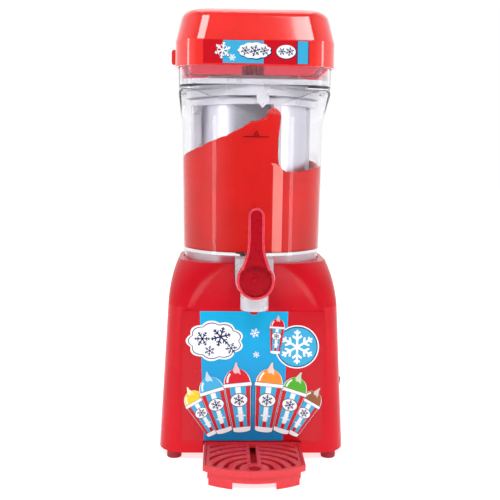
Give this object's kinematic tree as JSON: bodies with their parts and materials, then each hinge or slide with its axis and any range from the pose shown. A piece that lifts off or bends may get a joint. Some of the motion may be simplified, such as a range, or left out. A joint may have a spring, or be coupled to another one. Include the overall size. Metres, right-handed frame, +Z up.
{
  "type": "slushie machine",
  "caption": "Home slushie machine: red motor base, clear tank with hanging ice canister and turning paddle, lever tap, lid, slide-in drip tray.",
  "frame": {"origin": "on the drive axis, in the plane the feet stand on", "axes": "+Z up along the drive axis, -Y to the front with the tap, +X to the machine's right side as seen from the front"},
  "size_m": [0.1817, 0.2651, 0.432],
  "materials": {
    "red_gloss": "glossy moulded red",
    "dark_red_plastic": "fine matt moulding",
    "foot_rubber": "matt",
    "screw_steel": "zinc plated",
    "label_print": "printed film, glossy",
    "gearbox_plastic": "natural",
    "bronze": "turned",
    "motor_steel": "drawn can",
    "shaft_steel": "ground",
    "gear_nylon": "natural nylon",
    "black_plastic": "semi gloss",
    "wire_sleeve": "satin",
    "clear_plastic": "clear, polished",
    "silicone": "soft matt",
    "slush": "icy, wet",
    "tap_plastic": "milky translucent",
    "milky_plastic": "milky translucent",
    "black_rubber": "satin",
    "lever_red": "glossy",
    "canister_metal": "drawn and brushed",
    "lid_red": "glossy moulded red",
    "tray_red": "satin gloss"
  },
  "bodies": {
    "base": {"base_housing": "red_gloss", "base_bottom_cover": "dark_red_plastic", "rubber_feet": "foot_rubber", "bottom_cover_screws": "screw_steel", "front_label": "label_print", "gearbox_housing": "gearbox_plastic", "gearbox_lid": "gearbox_plastic", "gearbox_screws": "screw_steel", "drive_shaft_bush": "bronze", "motor_can": "motor_steel", "motor_screws": "screw_steel", "idler_axle": "shaft_steel", "switch_body": "black_plastic", "power_inlet": "black_plastic", "inlet_contacts": "bronze", "wiring": "wire_sleeve"},
    "motor_rotor": {"motor_shaft": "shaft_steel", "motor_pinion": "bronze"},
    "idler": {"idler_gear": "gear_nylon"},
    "drive": {"output_gear": "gear_nylon", "drive_shaft": "shaft_steel", "drive_dog": "gearbox_plastic", "shaft_circlip": "screw_steel"},
    "rocker": {"rocker_button": "black_plastic"},
    "tray": {"drip_tray": "tray_red"},
    "grille": {"drip_grille": "tray_red"},
    "tank_group": {"tank": "clear_plastic", "tank_shaft_seal": "silicone", "slush_fill": "slush", "tap_body": "tap_plastic", "tap_gasket": "silicone", "tap_cap": "tap_plastic"},
    "tap": {"tap_plug": "milky_plastic", "tap_o_rings": "black_rubber", "tap_lever": "lever_red"},
    "paddle": {"mixing_paddle": "milky_plastic", "paddle_bars": "milky_plastic", "paddle_top_ring": "milky_plastic", "paddle_scrapers": "silicone", "paddle_spindle": "milky_plastic"},
    "canister": {"ice_canister": "canister_metal", "canister_collar": "milky_plastic", "cap_gasket": "silicone"},
    "cap": {"canister_cap": "milky_plastic"},
    "lid": {"lid_shell": "lid_red", "lid_gasket": "silicone", "lid_label": "label_print"}
  },
  "joints": [
    {"name": "tank_lift", "type": "slide", "parent": "base", "child": "tank_group", "axis": [0, 0, 1], "range_m": [0, 0.15]},
    {"name": "canister_lift", "type": "slide", "parent": "tank_group", "child": "canister", "axis": [0, 0, 1], "range_m": [0, 0.17]},
    {"name": "cap_lift", "type": "slide", "parent": "canister", "child": "cap", "axis": [0, 0, 1], "range_m": [0, 0.05]},
    {"name": "lid_lift", "type": "slide", "parent": "cap", "child": "lid", "axis": [0, 0, 1], "range_m": [0, 0.08]},
    {"name": "paddle_spin", "type": "hinge", "parent": "tank_group", "child": "paddle", "pos_m": [0, 0, 0.2], "axis": [0, 0, 1], "continuous": true},
    {"name": "drive_spin", "type": "hinge", "parent": "base", "child": "drive", "pos_m": [0, 0, 0.15], "axis": [0, 0, 1], "continuous": true},
    {"name": "idler_spin", "type": "hinge", "parent": "base", "child": "idler", "pos_m": [0, 0.029, 0.15], "axis": [0, 0, 1], "continuous": true},
    {"name": "motor_spin", "type": "hinge", "parent": "base", "child": "motor_rotor", "pos_m": [0, 0.055, 0.12], "axis": [0, 0, 1], "continuous": true},
    {"name": "tap_turn", "type": "hinge", "parent": "tank_group", "child": "tap", "pos_m": [0, -0.1, 0.181], "axis": [0, -1, 0], "range_deg": [0, 90]},
    {"name": "switch_rock", "type": "hinge", "parent": "base", "child": "rocker", "pos_m": [0.08725, -0.042, 0.066], "axis": [0, -1, 0], "range_deg": [0, 18]},
    {"name": "tray_slide", "type": "slide", "parent": "base", "child": "tray", "axis": [0, -1, 0], "range_m": [0, 0.1]},
    {"name": "grille_lift", "type": "slide", "parent": "tray", "child": "grille", "axis": [0, 0, 1], "range_m": [0, 0.03]}
  ],
  "couplings": [
    {"joint": "drive_spin", "follows": "paddle_spin", "ratio": 1},
    {"joint": "idler_spin", "follows": "paddle_spin", "ratio": -3.1429},
    {"joint": "motor_spin", "follows": "paddle_spin", "ratio": 10.476}
  ]
}
